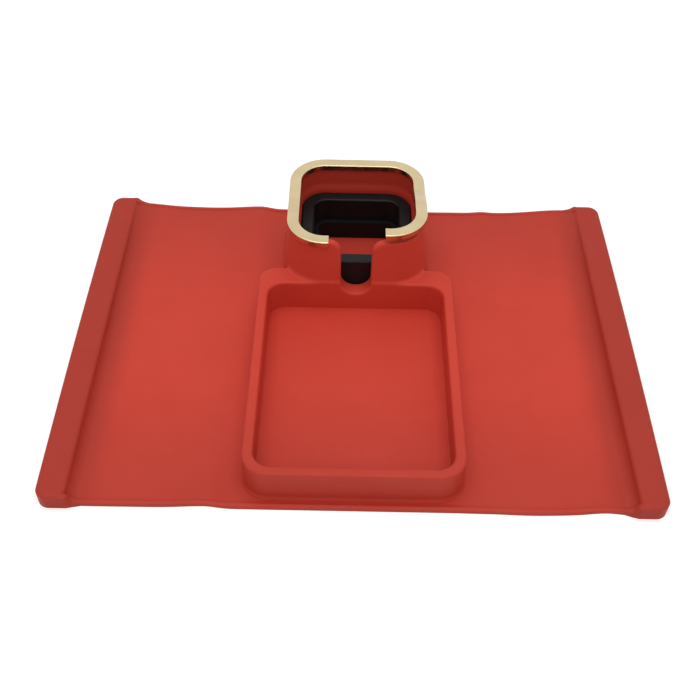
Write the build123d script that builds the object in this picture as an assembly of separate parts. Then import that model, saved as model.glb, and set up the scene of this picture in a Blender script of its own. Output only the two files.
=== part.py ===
from build123d import *
import math
import os

# Sofa arm tray: a silicone mat that drapes over the arm of a sofa, with a walled tray and a square
# cup holder moulded on its middle, a weighted hem at each end, a gold trim cap and a black cup insert.
# Frame: origin under the middle of the mat, X across the sofa arm, Y away from the sitter, Z up.

# Mat
overall_width = 411.0
mat_depth = 305.0
mat_thickness = 2.4
lip_width = 3.0
lip_rise = 1.2
lip_chamfer_share = 0.4

# Bending strips on each side of the middle
bend_start_gap = 6.6
bend_pitch = 14.0

# Weighted hems
hem_width = 19.2
hem_height = 11.8
hem_overhang = 1.8
hem_corner_radius = 8.0
hem_edge_chamfer = 1.3
pocket_wall = 2.6
pocket_end_margin = 8.0
hem_strip_thickness = 1.6
weight_bar_thickness = 6.6
weight_bar_clearance = 0.2

# Tray
tray_width = 146.8
tray_near_margin = 7.2
tray_height = 28.0
tray_wall_thickness = 7.6
tray_far_rim_width = 17.4
tray_near_corner_radius = 18.0
tray_far_corner_radius = 13.0
well_corner_radius = 12.0
rim_round = 1.6
rim_outer_chamfer = 1.2
foot_chamfer = 1.8
join_radius = 2.5

# Cup holder collar
cup_height = 65.3
collar_far_margin = 6.6
collar_draft_angle = 6.8
collar_edge_chamfer = 1.0
collar_set_back = 0.8
shoulder_gap = 2.2
shoulder_height = 5.0

# Gold cap on the collar
cap_outer_width = 105.2
cap_depth_shortfall = 2.4
cap_face_width = 8.7
cap_outer_corner_radius = 28.0
cap_thickness = 1.2
cap_skirt_thickness = 1.0
cap_skirt_height = 4.8
cap_fit_clearance = 0.3
cap_edge_chamfer = 0.4
cap_arm_rise = 8.0

# Handle slot
slot_width = 22.8
slot_sill_height = 15.0
slot_lip_radius = 9.5
slot_edge_chamfer = 1.2

# Cup insert
insert_clearance = 0.5
insert_cap_clearance = 0.6
insert_height = 37.0
insert_draft_angle = 0.5
insert_rim_width = 9.5
insert_recess_corner_radius = 10.0
insert_ledge_height = 16.2
insert_ledge_width = 3.7
insert_skin = 2.2
insert_rib_thickness = 1.8
insert_rim_chamfer = 0.9

# One overrun for every cut, and how edges are picked out
overrun = 5.0
match_tolerance = 0.01
middle_share = 0.5
QUARTER_TURN = 90

# Places that follow from the sizes above
half_width = overall_width / 2
lip_chamfer = lip_rise * lip_chamfer_share
hem_inner_x = half_width - hem_width
hem_end_y = mat_depth / 2 + hem_overhang
cove_radius = hem_height - mat_thickness
cove_foot_x = hem_inner_x - cove_radius
first_bend_x = tray_width / 2 + bend_start_gap
last_bend_x = first_bend_x + 2 * bend_pitch
well_width = tray_width - 2 * tray_wall_thickness
tray_near_y = tray_near_margin - mat_depth / 2
well_near_y = tray_near_y + tray_wall_thickness
collar_top_z = cup_height - cap_thickness
cap_inner_width = cap_outer_width - 2 * cap_face_width
cap_inner_corner_radius = cap_outer_corner_radius - cap_face_width
cap_stand_off = cap_skirt_thickness + cap_fit_clearance
draft_slope = math.tan(math.radians(collar_draft_angle))
collar_top_inset = cap_stand_off + (cap_skirt_height - cap_thickness) * draft_slope
collar_top_width = cap_outer_width - 2 * collar_top_inset
collar_top_corner_radius = cap_outer_corner_radius - collar_top_inset
collar_flare_at_rim = (collar_top_z - tray_height) * draft_slope
collar_flare_at_mat = (collar_top_z - mat_thickness) * draft_slope
collar_top_depth = collar_top_width - cap_depth_shortfall
cup_centre_y = mat_depth / 2 - collar_far_margin - collar_top_depth / 2 - collar_flare_at_mat
well_far_y = cup_centre_y - collar_top_depth / 2 - collar_flare_at_rim - collar_set_back
tray_far_y = well_far_y + tray_far_rim_width
insert_width = cap_inner_width - 2 * insert_cap_clearance
insert_corner_radius = cap_inner_corner_radius - insert_cap_clearance
insert_top_z = mat_thickness + insert_height
shoulder_bottom_z = insert_top_z + shoulder_gap
shoulder_top_z = shoulder_bottom_z + shoulder_height


def mat_section():
    """Cross-section of the mat along Y: a thin sheet with a raised lip on its near and far edges."""
    section = Rectangle(mat_depth, mat_thickness, align=(Align.CENTER, Align.MIN))
    lip_height = mat_thickness + lip_rise
    for side in (-1, 1):
        edge = Pos(side * (mat_depth - lip_width) / 2, 0)
        section += edge * Rectangle(lip_width, lip_height, align=(Align.CENTER, Align.MIN))
    raised = section.vertices().filter_by(lambda corner: corner.Y > mat_thickness / 2)
    return chamfer(raised, lip_chamfer)


def mat_strip(from_x, to_x):
    """A length of the mat between two cuts across it."""
    return extrude(Plane.YZ.offset(from_x) * mat_section(), amount=to_x - from_x)


def rounded_square(width, corner_radius, z):
    """A rounded outline on a level plane over the middle of the cup holder, a little less deep than wide."""
    return Pos(0, cup_centre_y, z) * RectangleRounded(width, width - cap_depth_shortfall, corner_radius)


def square_prism(width, corner_radius, z, height, draft=0):
    """A block with that outline over the middle of the cup holder, narrowing upwards by its draft."""
    return extrude(rounded_square(width, corner_radius, z), amount=height, taper=draft)


def rounded_block(from_point, to_point, corner_radius):
    """A block between two corners, with its upright edges rounded."""
    size = [high - low for low, high in zip(from_point, to_point)]
    centre = [(low + high) / 2 for low, high in zip(from_point, to_point)]
    outline = Pos(centre[0], centre[1], from_point[2]) * RectangleRounded(size[0], size[1], corner_radius)
    return extrude(outline, amount=size[2])


def plain_block(from_point, to_point):
    """A block between two corners."""
    size = [high - low for low, high in zip(from_point, to_point)]
    return Pos(*from_point) * Box(*size, align=(Align.MIN, Align.MIN, Align.MIN))


def tray_outline():
    """Outer edge of the tray's wall: wide near corners and tighter far ones."""
    length = tray_far_y - tray_near_y
    outline = Pos(0, (tray_near_y + tray_far_y) / 2) * Rectangle(tray_width, length)
    outline = fillet(outline.vertices().group_by(Axis.Y)[0], tray_near_corner_radius)
    return fillet(outline.vertices().group_by(Axis.Y)[-1], tray_far_corner_radius)


def collar_body():
    """Outer shape of the cup holder, which narrows upwards to its top under the cap."""
    base_width = collar_top_width + 2 * collar_flare_at_mat
    base_radius = collar_top_corner_radius + collar_flare_at_mat
    return square_prism(base_width, base_radius, mat_thickness, collar_top_z - mat_thickness, collar_draft_angle)


def cup_cavity():
    """Inside of the cup holder: a pocket for the insert, a soft shoulder and a wider mouth."""
    mouth_width = cap_inner_width + 2 * cap_stand_off
    mouth_radius = cap_inner_corner_radius + cap_stand_off
    pocket_width = insert_width + 2 * insert_clearance
    pocket_radius = insert_corner_radius + insert_clearance
    pocket = square_prism(pocket_width, pocket_radius, mat_thickness, shoulder_bottom_z - mat_thickness)
    shoulder_angle = math.degrees(math.atan((mouth_width - pocket_width) / 2 / shoulder_height))
    shoulder = square_prism(pocket_width, pocket_radius, shoulder_bottom_z, shoulder_height, -shoulder_angle)
    mouth = square_prism(mouth_width, mouth_radius, shoulder_top_z, collar_top_z + overrun - shoulder_top_z)
    return pocket + shoulder + mouth


def handle_slot():
    """U-shaped slot for a mug's handle: round at the bottom, with its top corners rolled outwards."""
    half_slot = slot_width / 2
    sill_z = mat_thickness + slot_sill_height
    round_z = sill_z + half_slot
    lip_z = collar_top_z - slot_lip_radius
    mouth_half = half_slot + slot_lip_radius
    top_z = collar_top_z + overrun
    bowl = ThreePointArc((-half_slot, round_z), (0, sill_z), (half_slot, round_z))
    right_side = Line((half_slot, round_z), (half_slot, lip_z))
    right_lip = RadiusArc((half_slot, lip_z), (mouth_half, collar_top_z), slot_lip_radius)
    mouth = Polyline((mouth_half, collar_top_z), (mouth_half, top_z), (-mouth_half, top_z), (-mouth_half, collar_top_z))
    left_lip = RadiusArc((-mouth_half, collar_top_z), (-half_slot, lip_z), slot_lip_radius)
    left_side = Line((-half_slot, lip_z), (-half_slot, round_z))
    outline = make_face(Curve() + [bowl, right_side, right_lip, mouth, left_lip, left_side])
    return extrude(Plane.XZ.offset(-cup_centre_y) * outline, amount=cup_centre_y)


def touches(edge, solid):
    """True where the middle of an edge lies on a solid."""
    return solid.distance_to(Vertex(edge @ middle_share)) < match_tolerance


def runs_along_y(edge):
    """True for a straight edge that runs from the near side to the far side."""
    size = edge.bounding_box().size
    return size.X < match_tolerance and size.Z < match_tolerance


def level_edges(solid, z):
    """Edges that lie flat at one height."""

    def is_level(edge):
        places = (edge.start_point(), edge @ middle_share, edge.end_point())
        return all(abs(place.Z - z) < match_tolerance for place in places)

    return solid.edges().filter_by(is_level)


def centre_moulding():
    """The middle of the silicone moulding in one solid: mat, tray wall and cup holder, with soft corners."""
    plate = mat_strip(-first_bend_x, first_bend_x)
    tray = extrude(tray_outline(), amount=tray_height)
    tray = chamfer(tray.edges().group_by(Axis.Z)[-1], rim_outer_chamfer)
    collar = collar_body()
    solid = plate + tray + collar
    joins = level_edges(solid, tray_height).filter_by(lambda edge: touches(edge, collar))
    solid = fillet(joins, join_radius)
    collar_far_y = cup_centre_y + collar_top_depth / 2 + collar_flare_at_mat
    walls_zone = plain_block((-tray_width / 2, tray_near_y, 0), (tray_width / 2, collar_far_y, tray_height))
    feet = level_edges(solid, mat_thickness).filter_by(lambda edge: touches(edge, walls_zone))
    solid = chamfer(feet, foot_chamfer)

    well_low = (-well_width / 2, well_near_y, mat_thickness)
    well_high = (well_width / 2, well_far_y, collar_top_z + overrun)
    well = rounded_block(well_low, well_high, well_corner_radius)
    solid -= well
    rim = level_edges(solid, tray_height).filter_by(lambda edge: touches(edge, well))
    solid = fillet(rim, rim_round)

    slot = handle_slot()
    cavity = cup_cavity()
    solid = solid - cavity - slot
    slot_edges = solid.edges().filter_by(lambda edge: touches(edge, slot) and not runs_along_y(edge))
    inner_slot_edges = slot_edges.filter_by(lambda edge: touches(edge, cavity))
    solid = chamfer(slot_edges - inner_slot_edges, slot_edge_chamfer)
    solid = chamfer(inner_slot_edges, collar_edge_chamfer)
    top_edges = level_edges(solid, collar_top_z).filter_by(lambda edge: not touches(edge, slot))
    return chamfer(top_edges, collar_edge_chamfer)


def centre_nodes():
    """The moulding's middle cut into its mat, its tray wall and its cup holder."""
    solid = centre_moulding()
    wall_top = collar_top_z + overrun
    wall_reach = first_bend_x - foot_chamfer
    collar_reach = collar_top_width / 2 + collar_flare_at_mat + foot_chamfer
    walls_far_y = mat_depth / 2 - lip_width - lip_chamfer
    walls_low = (-wall_reach, tray_near_y - foot_chamfer, mat_thickness)
    walls = solid & plain_block(walls_low, (wall_reach, walls_far_y, wall_top))
    collar_low = (-collar_reach, well_far_y, mat_thickness)
    collar_zone = plain_block(collar_low, (collar_reach, walls_far_y, wall_top))
    return {"centre_mat": solid - walls, "tray_wall": walls - collar_zone, "cup_collar": walls & collar_zone}


def hem_section():
    """Cross-section of a hem along X: flat on top, with a hollow curve down to the mat."""
    return make_face(
        Curve()
        + [
            Line((cove_foot_x, 0), (half_width, 0)),
            Line((half_width, 0), (half_width, hem_height)),
            Line((half_width, hem_height), (hem_inner_x, hem_height)),
            RadiusArc((hem_inner_x, hem_height), (cove_foot_x, mat_thickness), cove_radius),
            Line((cove_foot_x, mat_thickness), (cove_foot_x, 0)),
        ]
    )


def lip_ramp_section():
    """Cross-section of the edge lip where it climbs the hem's hollow curve."""
    lip_z = mat_thickness + lip_rise
    lip_x = hem_inner_x - lip_rise
    return make_face(
        Curve()
        + [
            Line((cove_foot_x, 0), (hem_inner_x, 0)),
            Line((hem_inner_x, 0), (hem_inner_x, hem_height)),
            Line((hem_inner_x, hem_height), (lip_x, hem_height)),
            RadiusArc((lip_x, hem_height), (cove_foot_x, lip_z), cove_radius - lip_rise),
            Line((cove_foot_x, lip_z), (cove_foot_x, 0)),
        ]
    )


def wing_outline():
    """Plan of a wing: it widens over the hem's hollow curve, and its outer corners are rounded."""
    edge_y = mat_depth / 2
    corners = [
        (last_bend_x, -edge_y),
        (cove_foot_x, -edge_y),
        (hem_inner_x, -hem_end_y),
        (half_width, -hem_end_y),
        (half_width, hem_end_y),
        (hem_inner_x, hem_end_y),
        (cove_foot_x, edge_y),
        (last_bend_x, edge_y),
    ]
    outline = make_face(Polyline(*corners, close=True))
    return fillet(outline.vertices().group_by(Axis.X)[-1], hem_corner_radius)


def across(section, from_y, to_y):
    """A cross-section in X and Z drawn out between two places along Y."""
    return extrude(Plane.XZ.offset(-to_y) * section, amount=to_y - from_y)


def weight_pocket():
    """Pocket cut up into a hem from below for its weight bar."""
    end_y = hem_end_y - pocket_end_margin
    depth = hem_strip_thickness + weight_bar_thickness + weight_bar_clearance
    low = (hem_inner_x + pocket_wall, -end_y, 0)
    high = (half_width - pocket_wall, end_y, depth)
    return plain_block(low, high)


def right_wing():
    """Right wing of the mat in one moulding with its hem, lips and weight pocket."""
    outline = extrude(wing_outline(), amount=hem_height + overrun)
    hem = across(hem_section(), -hem_end_y, hem_end_y) & outline
    inner_edge = level_edges(hem, hem_height).group_by(Axis.X)[0]
    outer_edges = level_edges(hem, hem_height) - inner_edge
    hem = chamfer(outer_edges, hem_edge_chamfer)
    lip_y = mat_depth / 2 - lip_width
    ramps = across(lip_ramp_section(), lip_y, hem_end_y) + across(lip_ramp_section(), -hem_end_y, -lip_y)
    wing = hem + (mat_strip(last_bend_x, half_width) & outline) + (ramps & outline)
    inner_edge = level_edges(wing, hem_height).filter_by(lambda edge: edge.length > mat_depth / 2)
    wing = chamfer(inner_edge.group_by(Axis.X)[0], hem_edge_chamfer)
    return wing - weight_pocket()


def right_weight_bar():
    """Steel bar that lies in the right hem on the closing strip."""
    gap = pocket_wall + weight_bar_clearance
    end_y = hem_end_y - pocket_end_margin - weight_bar_clearance
    low = (hem_inner_x + gap, -end_y, hem_strip_thickness)
    high = (half_width - gap, end_y, hem_strip_thickness + weight_bar_thickness)
    return plain_block(low, high)


def right_hem_strip():
    """Silicone strip that closes the right hem's pocket flush with the mat's underside."""
    return split(weight_pocket(), Plane.XY.offset(hem_strip_thickness), keep=Keep.BOTTOM)


def cap_channel(z):
    """Closed ring of the cap with its top at one height: a flat top with a skirt inside and outside."""
    bottom_z = z - cap_skirt_height
    ring = square_prism(cap_outer_width, cap_outer_corner_radius, bottom_z, cap_skirt_height)
    ring -= square_prism(cap_inner_width, cap_inner_corner_radius, bottom_z, cap_skirt_height)
    ring = chamfer(level_edges(ring, z), cap_edge_chamfer)
    groove_outer_width = cap_outer_width - 2 * cap_skirt_thickness
    groove_inner_width = cap_inner_width + 2 * cap_skirt_thickness
    groove_height = cap_skirt_height - cap_thickness
    groove = square_prism(
        groove_outer_width, cap_outer_corner_radius - cap_skirt_thickness, bottom_z, groove_height
    )
    groove -= square_prism(
        groove_inner_width, cap_inner_corner_radius + cap_skirt_thickness, bottom_z, groove_height
    )
    return ring - groove


def rising_band(from_x, to_x, height):
    """Part of the cap's right side that climbs in a soft S towards the sitter."""
    straight_half = (cap_outer_width - cap_depth_shortfall) / 2 - cap_outer_corner_radius
    far_y = cup_centre_y + straight_half
    near_y = cup_centre_y - straight_half
    low_z = cup_height
    high_z = cup_height + cap_arm_rise
    top = Bezier((near_y, high_z), (cup_centre_y, high_z), (cup_centre_y, low_z), (far_y, low_z))
    bottom = Pos(0, -height) * top
    near_end = Line((near_y, high_z - height), (near_y, high_z))
    far_end = Line((far_y, low_z), (far_y, low_z - height))
    band = make_face(Curve() + [top, far_end, bottom, near_end])
    return extrude(Plane.YZ.offset(from_x) * band, amount=to_x - from_x)


def trim_ring():
    """Gold cap over the collar's top: open at the handle slot, with its near right arm sprung upwards."""
    outer_x = cap_outer_width / 2
    inner_x = outer_x - cap_face_width
    straight_half = (cap_outer_width - cap_depth_shortfall) / 2 - cap_outer_corner_radius
    far_y = cup_centre_y + straight_half
    near_y = cup_centre_y - straight_half
    gap_half = slot_width / 2 + slot_lip_radius
    low_z = cup_height - cap_skirt_height - overrun
    high_z = cup_height + cap_arm_rise + overrun
    start_y = cup_centre_y - cap_outer_width
    level_part = cap_channel(cup_height)
    level_part -= plain_block((-gap_half, start_y, low_z), (gap_half, cup_centre_y, high_z))
    level_part -= plain_block((0, start_y, low_z), (cap_outer_width, far_y, high_z))
    raised_part = cap_channel(cup_height + cap_arm_rise)
    raised_part &= plain_block((gap_half, start_y, low_z), (cap_outer_width, near_y, high_z))
    top = rising_band(inner_x, outer_x, cap_thickness)
    outer_skirt = rising_band(outer_x - cap_skirt_thickness, outer_x, cap_skirt_height)
    inner_skirt = rising_band(inner_x, inner_x + cap_skirt_thickness, cap_skirt_height)
    rise = top + outer_skirt + inner_skirt
    long_top_edges = rise.edges().filter_by(lambda edge: is_upper_side_edge(edge, inner_x, outer_x))
    rise = chamfer(long_top_edges, cap_edge_chamfer)
    return level_part + rise + raised_part


def is_upper_side_edge(edge, inner_x, outer_x):
    """True for the long top edges of the climbing part of the cap."""
    middle = edge @ middle_share
    on_side = abs(middle.X - inner_x) < match_tolerance or abs(middle.X - outer_x) < match_tolerance
    middle_z = cup_height + cap_arm_rise / 2
    return on_side and abs(middle.Z - middle_z) < match_tolerance


def cup_insert():
    """Black insert that stands on the mat in the cup holder, stepped inside and cored from below."""
    top_z = insert_top_z
    bottom_z = mat_thickness
    ledge_z = bottom_z + insert_ledge_height
    recess_width = insert_width - 2 * insert_rim_width
    opening_width = recess_width - 2 * insert_ledge_width
    opening_radius = insert_recess_corner_radius - insert_ledge_width
    narrowing = insert_height * math.tan(math.radians(insert_draft_angle))
    base_width = insert_width - 2 * narrowing
    base_radius = insert_corner_radius - narrowing
    block = square_prism(base_width, base_radius, bottom_z, insert_height, -insert_draft_angle)
    recess = square_prism(recess_width, insert_recess_corner_radius, ledge_z, top_z - ledge_z)
    opening = square_prism(opening_width, opening_radius, bottom_z, insert_height)
    block = block - recess - opening
    block = chamfer(level_edges(block, top_z), insert_rim_chamfer)

    core_width = base_width - 2 * insert_skin
    core_radius = base_radius - insert_skin
    core = square_prism(core_width, core_radius, bottom_z, insert_height - insert_skin)
    recess_wall = square_prism(
        recess_width + 2 * insert_skin, insert_recess_corner_radius + insert_skin, ledge_z - insert_skin, insert_height
    )
    opening_wall = square_prism(opening_width + 2 * insert_skin, opening_radius + insert_skin, bottom_z, insert_height)
    core = core - recess_wall - opening_wall
    rib = Box(insert_rib_thickness, insert_width, insert_height, align=(Align.CENTER, Align.CENTER, Align.MIN))
    ribs = Pos(0, cup_centre_y, bottom_z) * (rib + Rot(0, 0, QUARTER_TURN) * rib)
    return block - (core - ribs)


def build_nodes():
    """Every node of the assembly by name."""
    inner_strip = mat_strip(first_bend_x, first_bend_x + bend_pitch)
    outer_strip = mat_strip(first_bend_x + bend_pitch, last_bend_x)
    nodes = centre_nodes()
    right_side = {
        "bend_inner": inner_strip,
        "bend_outer": outer_strip,
        "wing": right_wing(),
        "weight_bar": right_weight_bar(),
        "hem_strip": right_hem_strip(),
    }
    for name, solid in right_side.items():
        nodes["right_" + name] = solid
        nodes["left_" + name] = mirror(solid, about=Plane.YZ)
    nodes["trim_ring"] = trim_ring()
    nodes["cup_insert"] = cup_insert()
    return nodes


os.makedirs("parts", exist_ok=True)
for node_name, node_solid in build_nodes().items():
    node_solid.label = node_name
    export_step(node_solid, "parts/" + node_name + ".step")
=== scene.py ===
import math

import bmesh
import bpy
from mathutils import Matrix, Vector, noise


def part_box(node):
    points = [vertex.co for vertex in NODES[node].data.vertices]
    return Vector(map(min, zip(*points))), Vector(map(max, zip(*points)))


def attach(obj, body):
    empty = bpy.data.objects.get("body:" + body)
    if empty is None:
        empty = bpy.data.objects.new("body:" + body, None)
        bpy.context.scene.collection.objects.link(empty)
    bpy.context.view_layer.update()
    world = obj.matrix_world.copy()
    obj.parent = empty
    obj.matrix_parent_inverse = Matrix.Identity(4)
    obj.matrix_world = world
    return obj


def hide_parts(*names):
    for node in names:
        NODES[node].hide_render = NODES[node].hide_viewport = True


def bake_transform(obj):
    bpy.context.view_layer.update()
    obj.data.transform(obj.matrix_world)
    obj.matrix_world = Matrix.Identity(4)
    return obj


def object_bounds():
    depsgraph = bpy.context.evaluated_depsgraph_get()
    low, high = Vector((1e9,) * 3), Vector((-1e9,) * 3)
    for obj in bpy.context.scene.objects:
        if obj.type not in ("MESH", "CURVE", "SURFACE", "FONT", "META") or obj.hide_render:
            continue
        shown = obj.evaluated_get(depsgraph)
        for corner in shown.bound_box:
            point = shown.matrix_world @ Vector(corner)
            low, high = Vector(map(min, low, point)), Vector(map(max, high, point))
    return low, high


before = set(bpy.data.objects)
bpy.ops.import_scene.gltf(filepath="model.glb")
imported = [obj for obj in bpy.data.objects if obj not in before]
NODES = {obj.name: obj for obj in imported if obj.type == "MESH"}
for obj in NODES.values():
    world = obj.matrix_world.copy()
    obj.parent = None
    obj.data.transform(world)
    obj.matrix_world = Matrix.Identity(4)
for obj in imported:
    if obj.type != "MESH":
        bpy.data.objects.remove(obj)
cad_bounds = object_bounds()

# Dresses the sofa arm tray. All lengths are in metres, in the frame of the CAD nodes:
# X across the sofa arm, Y away from the sitter, Z up, with the floor at Z = 0.
MM = 0.001
SIDES = ("left", "right")

# The photograph's camera
CAMERA_PLACE = Vector((-7.89, -521.71, 546.31)) * MM
CAMERA_PITCH = math.radians(46.783)
CAMERA_YAW = math.radians(0.502)
CAMERA_ROLL = math.radians(-1.495)
FOCAL_PIXELS = 1000
IMAGE_PIXELS = 700
SENSOR_WIDTH = 36

# Mat: a grid fine enough for its waves, and the bands at the hinge lines
MERGE_DISTANCE = 0.01 * MM
SEAM_FACING = 0.9
FLAT_ANGLE = math.radians(0.5)
GRID_STEP = 4 * MM
SEAM_XS = tuple(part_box(name)[1][0] for name in ("centre_mat", "right_bend_inner", "right_bend_outer"))
BAND_HALF = (SEAM_XS[1] - SEAM_XS[0]) / 2
BAND_JOINTS = (("centre", "bend_inner"), ("bend_inner", "bend_outer"), ("bend_outer", "wing"))

# Lifts of the mat's edges off the floor: place in X, edge (-1 near, 1 far), height, reach in X, reach in Y
EDGE_LIFTS = (
    (-184 * MM, 1, 4.2 * MM, 28 * MM, 40 * MM),
    (-80 * MM, 1, 2.6 * MM, 24 * MM, 30 * MM),
    (107 * MM, 1, 1.2 * MM, 8 * MM, 24 * MM),
    (176 * MM, 1, 5.5 * MM, 34 * MM, 44 * MM),
    (-97 * MM, -1, 2.3 * MM, 20 * MM, 24 * MM),
    (165 * MM, -1, 2.7 * MM, 14 * MM, 24 * MM),
)
RIPPLE_HEIGHT = 0.35 * MM
RIPPLE_LENGTH = 42 * MM
WALL_MARGIN = 4 * MM
WALL_FADE = 18 * MM

# A stretch of the near edge, and the middle of each hem, stand a little further out
NEAR_BULGE_X = 115 * MM
NEAR_BULGE = 1.2 * MM
NEAR_BULGE_REACH = 26 * MM
NEAR_BULGE_FADE = 40 * MM
HEM_BOW = 0.9 * MM

# Sheet and hems of the CAD mat, and the stretch where a lip's ramp keeps to the slope of the hem's chamfer
MAT_TOP = 2.4 * MM
HEM_WIDTH = 19.2 * MM
HEM_CHAMFER = 1.3 * MM
RAMP_TOP_WIDTH = 3.3 * MM

# Walls of the tray and the cup holder
WALL_VOXEL = 0.9 * MM
WALL_ROOT = 1.4 * MM
WALL_SMOOTHING_STEPS = 5
WALL_SMOOTHING = 0.5

SMOOTH_ANGLE = math.radians(34)

# The range that holds most values of a noise node
NOISE_LOW = 0.3
NOISE_HIGH = 0.7

WHITE = (1, 1, 1)

# Painted shade on the silicone, full on the hems. It fades in beside the hem, and in part towards the near
# and far edges
HEM_PAINTED_SHADE = (0.68, 0.72, 0.72)
HEM_SHADE_START = 24 * MM
HEM_SHADE_END = 1 * MM
EDGE_SHADE_START = 50 * MM
EDGE_SHADE_END = 140 * MM
EDGE_SHADE_SHARE = 0.55

# Floor and sky
FLOOR_HALF = 0.7
FLOOR_DROP = 0.1 * MM
FLOOR_WHITE = 0.82
FLOOR_LIFT = 0.3
SKY_STRENGTH = 0.62


def node_mesh(*names):
    """The meshes of some CAD nodes in one bmesh, with their shared corners merged."""
    bm = bmesh.new()
    for name in names:
        bm.from_mesh(NODES[name].data)
    bmesh.ops.remove_doubles(bm, verts=bm.verts, dist=MERGE_DISTANCE)
    return bm


def new_piece(name, bm, material):
    """A mesh object from a bmesh, with smooth shading between sharp edges."""
    mesh = bpy.data.meshes.new(name)
    bm.to_mesh(mesh)
    bm.free()
    piece = bpy.data.objects.new(name, mesh)
    bpy.context.scene.collection.objects.link(piece)
    mesh.materials.append(material)
    shade_smooth(piece)
    return piece


def shade_smooth(piece):
    """Smooth shading that stops at sharp edges."""
    piece.data.shade_smooth()
    piece.data.set_sharp_from_angle(angle=SMOOTH_ANGLE)


def smooth_step(value):
    """0 below 0, 1 above 1 and a soft S between."""
    value = min(max(value, 0), 1)
    return value * value * (3 - 2 * value)


# Mat


def outside_distance(x, y, low, high):
    """Distance of a place in plan outside a node's box."""
    dx = max(low[0] - x, x - high[0], 0)
    dy = max(low[1] - y, y - high[1], 0)
    return math.hypot(dx, dy)


def mat_lift(place, wall_boxes, hem_top, hem_inner_x, edge_y):
    """How far the mat stands off the floor at a place; the hems and the mat round the walls lie flat."""
    lift = RIPPLE_HEIGHT * (1 + noise.noise(Vector((place.x, place.y, 0)) / RIPPLE_LENGTH))
    for lift_x, edge, height, reach_x, reach_y in EDGE_LIFTS:
        across = (place.x - lift_x) / reach_x
        inwards = (edge_y - edge * place.y) / reach_y
        lift += height * math.exp(-across * across - inwards * inwards)
    wall_gap = min(outside_distance(place.x, place.y, *box) for box in wall_boxes)
    lift *= smooth_step((wall_gap - WALL_MARGIN) / WALL_FADE)
    cove = hem_top - MAT_TOP
    # The lift fades out up the hem's hollow curve on top, and below that curve on the underside
    if place.z > MAT_TOP / 2 and abs(place.x) < hem_inner_x:
        return lift * min((hem_top - place.z) / cove, 1)
    return lift * smooth_step((hem_inner_x - abs(place.x)) / cove)


def edge_shift(place, half_width, edge_y):
    """How far a place of the mat moves in plan: a bulge of the near edge and the bow of the hems' sides."""
    across = (place.x - NEAR_BULGE_X) / NEAR_BULGE_REACH
    inwards = (edge_y + place.y) / NEAR_BULGE_FADE
    bulge = NEAR_BULGE * math.exp(-across * across - inwards * inwards)
    on_side = 1 if abs(place.x) > half_width - HEM_CHAMFER - MERGE_DISTANCE else 0
    bow = HEM_BOW * on_side * (1 - (place.y / edge_y) ** 2)
    return Vector((math.copysign(bow, place.x), -bulge, 0))


def is_seam(face):
    """True for the cut ends where two of the mat's CAD strips meet."""
    place_x = abs(face.calc_center_median().x)
    on_seam = any(abs(place_x - seam_x) < MERGE_DISTANCE for seam_x in SEAM_XS)
    return on_seam and abs(face.normal.x) > SEAM_FACING


def whole_mat():
    """The mat with its hems as one waved sheet, before it is parted into pieces."""
    names = ["centre_mat"]
    for side in SIDES:
        names += [side + "_bend_inner", side + "_bend_outer", side + "_wing"]
    bm = node_mesh(*names)
    seams = [face for face in bm.faces if is_seam(face)]
    bmesh.ops.delete(bm, geom=seams, context="FACES_ONLY")
    bmesh.ops.dissolve_limit(bm, angle_limit=FLAT_ANGLE, verts=bm.verts, edges=bm.edges)

    low, high = cad_bounds
    for axis in (0, 1):
        direction = Vector((axis == 0, axis == 1, 0))
        count = int((high[axis] - low[axis]) / GRID_STEP)
        step = (high[axis] - low[axis]) / count
        for index in range(1, count):
            cut(bm, direction * (low[axis] + index * step), direction)
    wave_mat(bm)
    return bm


def wave_mat(bm):
    """Gives the flat mat its lifted edges, its soft waves and its slightly bowed outline."""
    wall_boxes = (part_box("tray_wall"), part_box("cup_collar"))
    edge_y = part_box("centre_mat")[1][1]
    half_width, _, hem_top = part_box("right_wing")[1]
    hem_inner_x = half_width - HEM_WIDTH
    for vert in bm.verts:
        from_hem_top = hem_inner_x + HEM_CHAMFER - abs(vert.co.x)
        if 0 < from_hem_top < RAMP_TOP_WIDTH:
            vert.co.z = min(vert.co.z, hem_top - from_hem_top)
        place = vert.co.copy()
        vert.co.z += mat_lift(place, wall_boxes, hem_top, hem_inner_x, edge_y)
        vert.co += edge_shift(place, half_width, edge_y)


def cut(bm, place, direction, clear_inner=False, clear_outer=False):
    """Cuts a bmesh by a plane and gives the edges that lie on it."""
    geometry = bm.verts[:] + bm.edges[:] + bm.faces[:]
    result = bmesh.ops.bisect_plane(
        bm,
        geom=geometry,
        plane_co=place,
        plane_no=direction,
        dist=MERGE_DISTANCE,
        clear_inner=clear_inner,
        clear_outer=clear_outer,
    )
    return [part for part in result["geom_cut"] if isinstance(part, bmesh.types.BMEdge)]


def mat_part(name, whole, from_x, to_x, material):
    """The part of the mat between two planes across it, closed at its cuts."""
    bm = whole.copy()
    along_x = Vector((1, 0, 0))
    if from_x is not None:
        edges = cut(bm, along_x * from_x, along_x, clear_inner=True)
        bmesh.ops.contextual_create(bm, geom=edges)
    if to_x is not None:
        edges = cut(bm, along_x * to_x, along_x, clear_outer=True)
        bmesh.ops.contextual_create(bm, geom=edges)
    bmesh.ops.recalc_face_normals(bm, faces=bm.faces)
    return new_piece(name, bm, material)


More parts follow.
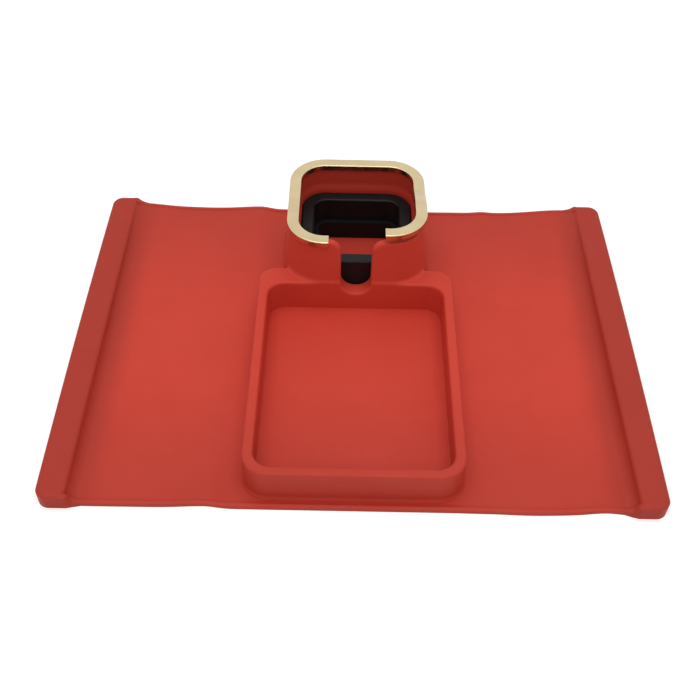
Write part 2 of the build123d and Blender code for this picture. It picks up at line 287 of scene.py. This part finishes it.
def make_mat(material):
    """The mat: a middle, three bands on each side at the hinge lines and the wings with their hems."""
    whole = whole_mat()
    first_x = SEAM_XS[0] - BAND_HALF
    last_x = SEAM_XS[-1] + BAND_HALF
    middle = mat_part("mat_middle", whole, -first_x, first_x, material)
    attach(middle, "centre")
    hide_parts("centre_mat")
    for side, sign in (("left", -1), ("right", 1)):
        for index, (seam_x, bodies) in enumerate(zip(SEAM_XS, BAND_JOINTS)):
            start_x = sign * (seam_x - BAND_HALF)
            end_x = sign * (seam_x + BAND_HALF)
            band_name = side + "_band_" + str(index + 1)
            band = mat_part(band_name, whole, min(start_x, end_x), max(start_x, end_x), material)
            body_a = bodies[0] if bodies[0] == "centre" else side + "_" + bodies[0]
            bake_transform(band)
            if index > 0:
                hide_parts(body_a)
        wing_ends = (None, -last_x) if sign < 0 else (last_x, None)
        wing = mat_part(side + "_wing_sheet", whole, *wing_ends, material)
        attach(wing, side + "_wing")
        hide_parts(side + "_wing")
    whole.free()


# Walls of the tray and the cup holder


def lies_at(face, height):
    """True for a face that lies level at one height."""
    return all(abs(vert.co.z - height) < MERGE_DISTANCE for vert in face.verts)


def make_walls(material):
    """The tray's wall and the cup holder in one soft moulding, rooted a little in the mat."""
    bm = node_mesh("tray_wall", "cup_collar")
    floor_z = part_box("tray_wall")[0][2]
    bottom = [face for face in bm.faces if lies_at(face, floor_z)]
    extruded = bmesh.ops.extrude_face_region(bm, geom=bottom)
    moved = [part for part in extruded["geom"] if isinstance(part, bmesh.types.BMVert)]
    bmesh.ops.translate(bm, verts=moved, vec=(0, 0, -WALL_ROOT))
    bmesh.ops.delete(bm, geom=bottom, context="FACES_ONLY")
    walls = new_piece("tray_and_holder_walls", bm, material)
    remesh = walls.modifiers.new("Soft moulding", "REMESH")
    remesh.mode = "VOXEL"
    remesh.voxel_size = WALL_VOXEL
    smoothing = walls.modifiers.new("Soft edges", "SMOOTH")
    smoothing.iterations = WALL_SMOOTHING_STEPS
    smoothing.factor = WALL_SMOOTHING
    bake_modifiers(walls)
    walls.data.shade_smooth()
    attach(walls, "centre")
    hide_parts("tray_wall", "cup_collar")


def bake_modifiers(piece):
    """Puts the result of a piece's modifiers into its mesh."""
    depsgraph = bpy.context.evaluated_depsgraph_get()
    baked = bpy.data.meshes.new_from_object(piece.evaluated_get(depsgraph))
    piece.modifiers.clear()
    old = piece.data
    piece.data = baked
    bpy.data.meshes.remove(old)


# Materials


def new_material(name):
    """A material with its shader node, tree and a texture coordinate in metres."""
    material = bpy.data.materials.new(name)
    material.use_nodes = True
    tree = material.node_tree
    shader = tree.nodes["Principled BSDF"]
    place = tree.nodes.new("ShaderNodeTexCoord").outputs["Object"]
    return material, tree, shader, place


def noise_value(tree, place, feature, detail=2.0, roughness=0.5):
    """Noise with features of one size, from 0 to 1."""
    texture = tree.nodes.new("ShaderNodeTexNoise")
    texture.inputs["Scale"].default_value = 1 / feature
    texture.inputs["Detail"].default_value = detail
    texture.inputs["Roughness"].default_value = roughness
    tree.links.new(place, texture.inputs["Vector"])
    return texture.outputs["Fac"]


def colour_between(tree, value, first, last, from_low=NOISE_LOW, from_high=NOISE_HIGH):
    """A colour between two for each value in a range."""
    ramp = tree.nodes.new("ShaderNodeValToRGB")
    ends = ((from_low, first), (from_high, last))
    for element, (position, colour) in zip(ramp.color_ramp.elements, ends):
        element.position = position
        element.color = (*colour, 1)
    tree.links.new(value, ramp.inputs["Fac"])
    return ramp.outputs["Color"]


def value_range(tree, value, low, high, from_low=NOISE_LOW, from_high=NOISE_HIGH):
    """A value spread over a range, which may start at another node's value."""
    spread = tree.nodes.new("ShaderNodeMapRange")
    spread.inputs["From Min"].default_value = from_low
    spread.inputs["From Max"].default_value = from_high
    if isinstance(low, bpy.types.NodeSocket):
        tree.links.new(low, spread.inputs["To Min"])
    else:
        spread.inputs["To Min"].default_value = low
    spread.inputs["To Max"].default_value = high
    tree.links.new(value, spread.inputs["Value"])
    return spread.outputs["Result"]


def bump(tree, height, distance, strength, normal=None):
    """Surface relief from a height value."""
    relief = tree.nodes.new("ShaderNodeBump")
    relief.inputs["Distance"].default_value = distance
    relief.inputs["Strength"].default_value = strength
    tree.links.new(height, relief.inputs["Height"])
    if normal is not None:
        tree.links.new(normal, relief.inputs["Normal"])
    return relief.outputs["Normal"]


def absolute(tree, value):
    """A value without its sign."""
    node = tree.nodes.new("ShaderNodeMath")
    node.operation = "ABSOLUTE"
    tree.links.new(value, node.inputs[0])
    return node.outputs[0]


def painted_hem_shade(tree, place):
    """Painted shade, full on the thick hems, fading in beside them and in part towards the near and far
    edges.
    """
    split = tree.nodes.new("ShaderNodeSeparateXYZ")
    tree.links.new(place, split.inputs["Vector"])
    across = absolute(tree, split.outputs["X"])
    along = absolute(tree, split.outputs["Y"])
    hem_inner_x = cad_bounds[1][0] - HEM_WIDTH
    shade_start_x = hem_inner_x - HEM_SHADE_START
    shade_end_x = hem_inner_x - HEM_SHADE_END
    sides = value_range(tree, across, 0, 1, from_low=shade_start_x, from_high=shade_end_x)
    sides.node.interpolation_type = "SMOOTHSTEP"
    edges = value_range(tree, along, 0, EDGE_SHADE_SHARE, from_low=EDGE_SHADE_START, from_high=EDGE_SHADE_END)
    share = value_range(tree, sides, edges, 1, from_low=0, from_high=1)
    return colour_between(tree, share, WHITE, HEM_PAINTED_SHADE, from_low=0, from_high=1)


def silicone_red():
    """Matt moulded silicone: slight mottling, a fine grain, a touch of depth, and painted shade on and
    beside the hems and towards the near and far edges.
    """
    material, tree, shader, place = new_material("silicone_red")
    mottling = noise_value(tree, place, feature=55 * MM, detail=4.0, roughness=0.6)
    dark_red = (0.53, 0.043, 0.024)
    light_red = (0.56, 0.047, 0.027)
    red = colour_between(tree, mottling, dark_red, light_red)
    # Painted shade: the red is darkened on and beside the hems and towards the near and far edges.
    shaded_red = tree.nodes.new("ShaderNodeVectorMath")
    shaded_red.operation = "MULTIPLY"
    tree.links.new(red, shaded_red.inputs[0])
    tree.links.new(painted_hem_shade(tree, place), shaded_red.inputs[1])
    tree.links.new(shaded_red.outputs["Vector"], shader.inputs["Base Color"])
    haze = noise_value(tree, place, feature=22 * MM, detail=5.0, roughness=0.65)
    tree.links.new(value_range(tree, haze, low=0.48, high=0.6), shader.inputs["Roughness"])
    grain = noise_value(tree, place, feature=0.7 * MM, detail=3.0)
    flow = noise_value(tree, place, feature=16 * MM, detail=1.0)
    flow_relief = bump(tree, flow, distance=0.25 * MM, strength=0.5)
    relief = bump(tree, grain, distance=0.03 * MM, strength=0.6, normal=flow_relief)
    tree.links.new(relief, shader.inputs["Normal"])
    shader.inputs["Specular IOR Level"].default_value = 0.2
    shader.inputs["Subsurface Weight"].default_value = 0.06
    shader.inputs["Subsurface Radius"].default_value = (1.0, 0.2, 0.1)
    shader.inputs["Subsurface Scale"].default_value = 2 * MM
    return material


def trim_gold():
    """Pale polished gold with a faint haze, hairline polish marks and edges that catch the light."""
    material, tree, shader, place = new_material("trim_gold")
    tint = noise_value(tree, place, feature=18 * MM, detail=3.0)
    dark_gold = (0.62, 0.50, 0.30)
    light_gold = (0.70, 0.57, 0.35)
    tree.links.new(colour_between(tree, tint, dark_gold, light_gold), shader.inputs["Base Color"])
    haze = noise_value(tree, place, feature=6 * MM, detail=5.0, roughness=0.7)
    tree.links.new(value_range(tree, haze, low=0.16, high=0.26), shader.inputs["Roughness"])
    worn_edges = tree.nodes.new("ShaderNodeBevel")
    worn_edges.inputs["Radius"].default_value = 0.6 * MM
    marks = noise_value(tree, place, feature=0.6 * MM, detail=4.0, roughness=0.7)
    relief = bump(tree, marks, distance=0.01 * MM, strength=0.08, normal=worn_edges.outputs["Normal"])
    tree.links.new(relief, shader.inputs["Normal"])
    shader.inputs["Metallic"].default_value = 1
    return material


def insert_black():
    """Satin black moulded plastic with a spark-eroded grain."""
    material, tree, shader, place = new_material("insert_black")
    mottling = noise_value(tree, place, feature=14 * MM, detail=3.0)
    deep_black = (0.0045, 0.004, 0.0045)
    soft_black = (0.007, 0.0062, 0.007)
    tree.links.new(colour_between(tree, mottling, deep_black, soft_black), shader.inputs["Base Color"])
    haze = noise_value(tree, place, feature=5 * MM, detail=4.0)
    tree.links.new(value_range(tree, haze, low=0.42, high=0.54), shader.inputs["Roughness"])
    grain = noise_value(tree, place, feature=0.5 * MM, detail=2.0)
    tree.links.new(bump(tree, grain, distance=0.03 * MM, strength=0.5), shader.inputs["Normal"])
    shader.inputs["Specular IOR Level"].default_value = 0.2
    return material


def bar_steel():
    """Plain cold-drawn steel for the hidden weight bars."""
    material, tree, shader, place = new_material("bar_steel")
    tint = noise_value(tree, place, feature=9 * MM, detail=4.0)
    dark_grey = (0.46, 0.46, 0.47)
    light_grey = (0.58, 0.58, 0.59)
    tree.links.new(colour_between(tree, tint, dark_grey, light_grey), shader.inputs["Base Color"])
    tree.links.new(value_range(tree, tint, low=0.3, high=0.45), shader.inputs["Roughness"])
    marks = noise_value(tree, place, feature=0.8 * MM, detail=4.0)
    tree.links.new(bump(tree, marks, distance=0.02 * MM, strength=0.4), shader.inputs["Normal"])
    shader.inputs["Metallic"].default_value = 1
    return material


def dress_node(name, material):
    """A CAD node that stays in view gets its material and smooth shading."""
    node = NODES[name]
    node.data.materials.clear()
    node.data.materials.append(material)
    shade_smooth(node)


# Floor, light and camera


def camera_ray_share(tree):
    """1 where the camera, a mirror or glass looks, and 0 for the light that falls on things."""
    light_path = tree.nodes.new("ShaderNodeLightPath")
    total = light_path.outputs["Is Camera Ray"]
    for kind in ("Is Glossy Ray", "Is Transmission Ray"):
        add = tree.nodes.new("ShaderNodeMath")
        add.operation = "ADD"
        add.use_clamp = True
        tree.links.new(total, add.inputs[0])
        tree.links.new(light_path.outputs[kind], add.inputs[1])
        total = add.outputs[0]
    return total


def make_floor():
    """A plain pale floor that keeps the object's shadow, open under the mat so that its bent wings show."""
    opening_x, opening_y = cad_bounds[1][:2]
    corners = ((-1, -1), (1, -1), (1, 1), (-1, 1))
    bm = bmesh.new()
    outer = [bm.verts.new((x * FLOOR_HALF, y * FLOOR_HALF, 0)) for x, y in corners]
    inner = [bm.verts.new((x * opening_x, y * opening_y, 0)) for x, y in corners]
    for index in range(len(corners)):
        bm.faces.new((outer[index - 1], outer[index], inner[index], inner[index - 1]))
    mesh = bpy.data.meshes.new("floor")
    bm.to_mesh(mesh)
    bm.free()
    floor = bpy.data.objects.new("floor", mesh)
    bpy.context.scene.collection.objects.link(floor)
    floor.location.z = -FLOOR_DROP
    material, tree, shader, _ = new_material("floor_white")
    shader.inputs["Base Color"].default_value = (FLOOR_WHITE, FLOOR_WHITE, FLOOR_WHITE, 1)
    shader.inputs["Roughness"].default_value = 0.9
    shader.inputs["Specular IOR Level"].default_value = 0
    shader.inputs["Emission Color"].default_value = (*WHITE, 1)
    lift = tree.nodes.new("ShaderNodeMath")
    lift.operation = "MULTIPLY"
    lift.inputs[1].default_value = FLOOR_LIFT
    tree.links.new(camera_ray_share(tree), lift.inputs[0])
    tree.links.new(lift.outputs[0], shader.inputs["Emission Strength"])
    mesh.materials.append(material)


def make_sky():
    """White behind the object, and a softer white light on it."""
    world = bpy.data.worlds.new("studio")
    bpy.context.scene.world = world
    world.use_nodes = True
    tree = world.node_tree
    background = tree.nodes["Background"]
    background.inputs["Color"].default_value = (*WHITE, 1)
    spread = tree.nodes.new("ShaderNodeMapRange")
    spread.inputs["To Min"].default_value = SKY_STRENGTH
    spread.inputs["To Max"].default_value = 1
    tree.links.new(camera_ray_share(tree), spread.inputs["Value"])
    tree.links.new(spread.outputs["Result"], background.inputs["Strength"])


def soft_lamp(name, place, aim, size, power):
    """A square softbox that faces a point."""
    light = bpy.data.lights.new(name, "AREA")
    light.shape = "SQUARE"
    light.size = size
    light.energy = power
    lamp = bpy.data.objects.new(name, light)
    bpy.context.scene.collection.objects.link(lamp)
    lamp.location = place
    lamp.rotation_euler = (Vector(aim) - Vector(place)).to_track_quat("-Z", "Y").to_euler()


def make_camera():
    """The photograph's viewpoint."""
    forward = Vector(
        (
            math.sin(CAMERA_YAW) * math.cos(CAMERA_PITCH),
            math.cos(CAMERA_YAW) * math.cos(CAMERA_PITCH),
            -math.sin(CAMERA_PITCH),
        )
    )
    level_right = Vector((math.cos(CAMERA_YAW), -math.sin(CAMERA_YAW), 0))
    level_down = forward.cross(level_right)
    right = math.cos(CAMERA_ROLL) * level_right + math.sin(CAMERA_ROLL) * level_down
    down = math.cos(CAMERA_ROLL) * level_down - math.sin(CAMERA_ROLL) * level_right
    turn = Matrix((right, -down, -forward)).transposed()
    data = bpy.data.cameras.new("photo_camera")
    data.sensor_width = SENSOR_WIDTH
    data.lens = SENSOR_WIDTH * FOCAL_PIXELS / IMAGE_PIXELS
    camera = bpy.data.objects.new("photo_camera", data)
    bpy.context.scene.collection.objects.link(camera)
    camera.matrix_world = Matrix.Translation(CAMERA_PLACE) @ turn.to_4x4()
    bpy.context.scene.camera = camera


silicone = silicone_red()
steel = bar_steel()
make_mat(silicone)
make_walls(silicone)
dress_node("trim_ring", trim_gold())
dress_node("cup_insert", insert_black())
for side in SIDES:
    dress_node(side + "_hem_strip", silicone)
    dress_node(side + "_weight_bar", steel)

make_floor()
make_sky()
soft_lamp("top_softbox", place=(0, -0.1, 1.6), aim=(0, 0, 0), size=1.4, power=13)
soft_lamp("front_lamp", place=(-0.1, -1.4, 1.4), aim=(0, 0.05, 0), size=0.4, power=2.4)
make_camera()
bpy.context.scene.view_settings.view_transform = "Standard"
